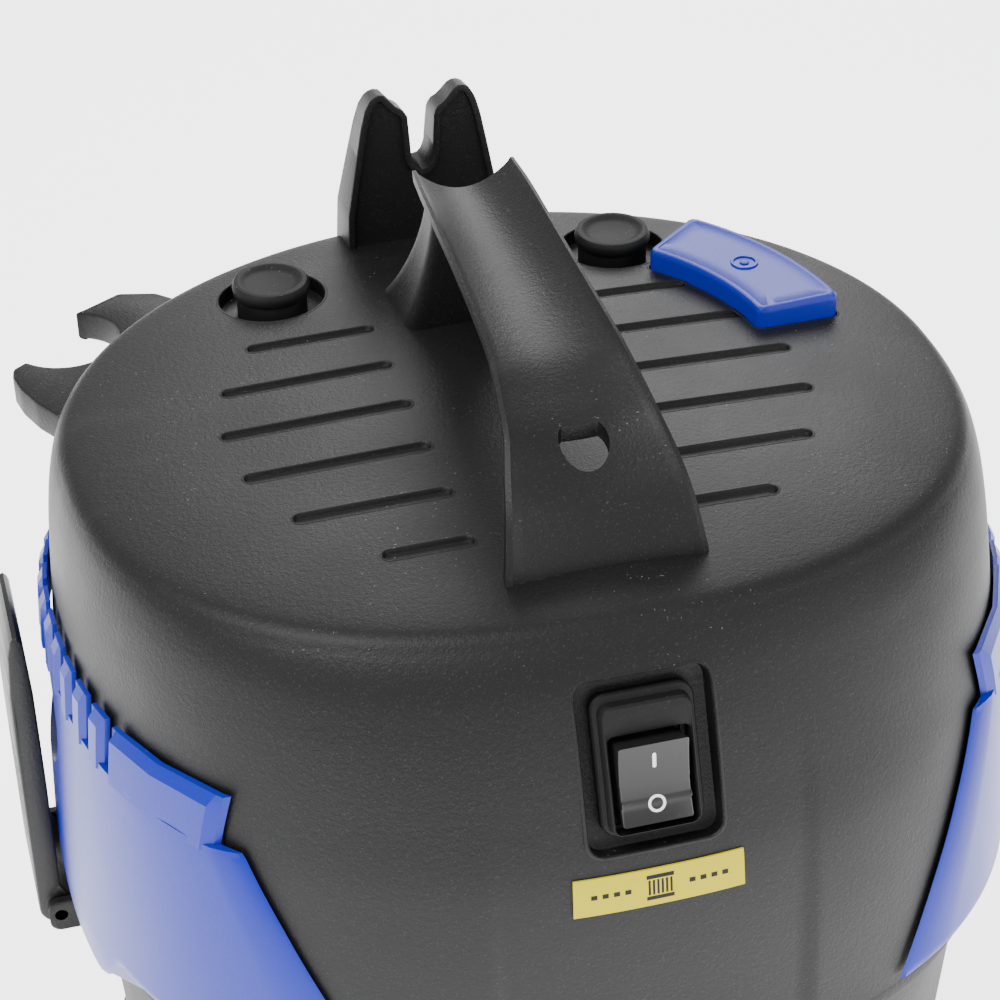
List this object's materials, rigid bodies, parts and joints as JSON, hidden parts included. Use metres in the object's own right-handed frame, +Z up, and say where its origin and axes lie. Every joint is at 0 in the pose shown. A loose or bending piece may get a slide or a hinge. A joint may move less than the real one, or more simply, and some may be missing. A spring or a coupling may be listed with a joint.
{
  "type": "shop vacuum",
  "caption": "Compact wet and dry vacuum: tapering tank on a castored base, lift-off motor head with carry handle, side latches, rear tube fork, hose clip and filter-cleaning button.",
  "frame": {"origin": "on the floor under the middle of the vacuum", "axes": "+Z up; -Y is the front, with the hose inlet and the power switch; +X is the side with the filter-cleaning button"},
  "size_m": [0.374, 0.39, 0.533],
  "materials": {
    "cover_black": "textured black moulded plastic",
    "tank_black": "coarse black moulded plastic",
    "panel_blue": "satin blue moulded plastic",
    "button_blue": "satin blue moulded plastic",
    "latch_black": "satin black moulded plastic",
    "rubber_black": "soft black rubber",
    "rocker_black": "glossy black plastic",
    "label_yellow": "printed yellow film",
    "inner_black": "plain black plastic",
    "steel": "zinc-plated steel",
    "aluminium": "cast and pressed aluminium",
    "copper": "enamelled copper windings in a steel stack",
    "carbon": "carbon brush",
    "board_green": "coated circuit board",
    "foam_grey": "open-cell foam",
    "filter_paper": "pleated filter paper",
    "float_white": "white hollow plastic",
    "castor_grey": "dark grey moulded plastic",
    "tyre_grey": "hard grey wheel"
  },
  "bodies": {
    "tank": {"tank": "tank_black", "chassis": "tank_black", "inlet_spigot": "inner_black", "latch_pin_left": "steel", "latch_pin_right": "steel"},
    "head": {"base_screw_0": "steel", "base_screw_1": "steel", "base_screw_2": "steel", "base_screw_3": "steel", "bearing_lower": "steel", "bearing_upper": "steel", "brush_left": "carbon", "brush_right": "carbon", "button_guide": "inner_black", "button_spring": "steel", "cable_gland": "rubber_black", "carry_handle": "cover_black", "control_board": "board_green", "exhaust_filter": "foam_grey", "fan_housing": "aluminium", "filter_cap": "inner_black", "filter_cartridge": "filter_paper", "float_cage": "inner_black", "head_base": "inner_black", "head_seal": "rubber_black", "label": "label_yellow", "motor_field": "copper", "motor_frame": "aluminium", "motor_hood": "inner_black", "motor_seal_lower": "rubber_black", "motor_seal_upper": "rubber_black", "rear_fork": "cover_black", "rubber_cap_left": "rubber_black", "rubber_cap_right": "rubber_black", "side_panel_left": "panel_blue", "side_panel_right": "panel_blue", "switch_body": "inner_black", "switch_boot": "rubber_black", "top_cover": "cover_black", "tube_clip": "cover_black"},
    "rotor": {"armature": "steel", "impeller": "aluminium"},
    "rocker": {"rocker": "rocker_black"},
    "button": {"filter_button": "button_blue"},
    "float": {"float": "float_white"},
    "latch_left": {"latch_left": "latch_black"},
    "latch_right": {"latch_right": "latch_black"},
    "castor_front_left": {"castor_fork_front_left": "castor_grey", "castor_axle_front_left": "steel"},
    "wheel_front_left": {"castor_wheel_front_left": "tyre_grey"},
    "castor_front_right": {"castor_fork_front_right": "castor_grey", "castor_axle_front_right": "steel"},
    "wheel_front_right": {"castor_wheel_front_right": "tyre_grey"},
    "castor_rear_left": {"castor_fork_rear_left": "castor_grey", "castor_axle_rear_left": "steel"},
    "wheel_rear_left": {"castor_wheel_rear_left": "tyre_grey"},
    "castor_rear_right": {"castor_fork_rear_right": "castor_grey", "castor_axle_rear_right": "steel"},
    "wheel_rear_right": {"castor_wheel_rear_right": "tyre_grey"}
  },
  "joints": [
    {"name": "head_lift", "type": "slide", "parent": "tank", "child": "head", "axis": [0, 0, 1], "range_m": [0, 0.16]},
    {"name": "latch_right_turn", "type": "hinge", "parent": "tank", "child": "latch_right", "pos_m": [0.1795, 0.02, 0.276], "axis": [0, 1, 0], "range_deg": [0, 80]},
    {"name": "latch_left_turn", "type": "hinge", "parent": "tank", "child": "latch_left", "pos_m": [-0.1795, 0.02, 0.276], "axis": [0, -1, 0], "range_deg": [0, 80]},
    {"name": "rocker_tilt", "type": "hinge", "parent": "head", "child": "rocker", "pos_m": [0, -0.15698, 0.41894], "axis": [1, 0, 0], "range_deg": [-14, 0]},
    {"name": "button_press", "type": "slide", "parent": "head", "child": "button", "axis": [0, 0, -1], "range_m": [0, 0.005], "stiffness_N_per_m": 300, "springref_m": -0.004, "deforming": ["button_spring"]},
    {"name": "motor_spin", "type": "hinge", "parent": "head", "child": "rotor", "pos_m": [0, 0, 0.36], "axis": [0, 0, 1], "continuous": true},
    {"name": "float_rise", "type": "slide", "parent": "head", "child": "float", "axis": [0, 0, 1], "range_m": [0, 0.0325]},
    {"name": "castor_swivel_front_left", "type": "hinge", "parent": "tank", "child": "castor_front_left", "pos_m": [-0.112, -0.157, 0.053], "axis": [0, 0, 1], "continuous": true},
    {"name": "wheel_spin_front_left", "type": "hinge", "parent": "castor_front_left", "child": "wheel_front_left", "pos_m": [-0.112, -0.141, 0.025], "axis": [1, 0, 0], "continuous": true},
    {"name": "castor_swivel_front_right", "type": "hinge", "parent": "tank", "child": "castor_front_right", "pos_m": [0.112, -0.157, 0.053], "axis": [0, 0, 1], "continuous": true},
    {"name": "wheel_spin_front_right", "type": "hinge", "parent": "castor_front_right", "child": "wheel_front_right", "pos_m": [0.112, -0.141, 0.025], "axis": [1, 0, 0], "continuous": true},
    {"name": "castor_swivel_rear_left", "type": "hinge", "parent": "tank", "child": "castor_rear_left", "pos_m": [-0.112, 0.15, 0.053], "axis": [0, 0, 1], "continuous": true},
    {"name": "wheel_spin_rear_left", "type": "hinge", "parent": "castor_rear_left", "child": "wheel_rear_left", "pos_m": [-0.112, 0.166, 0.025], "axis": [1, 0, 0], "continuous": true},
    {"name": "castor_swivel_rear_right", "type": "hinge", "parent": "tank", "child": "castor_rear_right", "pos_m": [0.112, 0.15, 0.053], "axis": [0, 0, 1], "continuous": true},
    {"name": "wheel_spin_rear_right", "type": "hinge", "parent": "castor_rear_right", "child": "wheel_rear_right", "pos_m": [0.112, 0.166, 0.025], "axis": [1, 0, 0], "continuous": true}
  ]
}
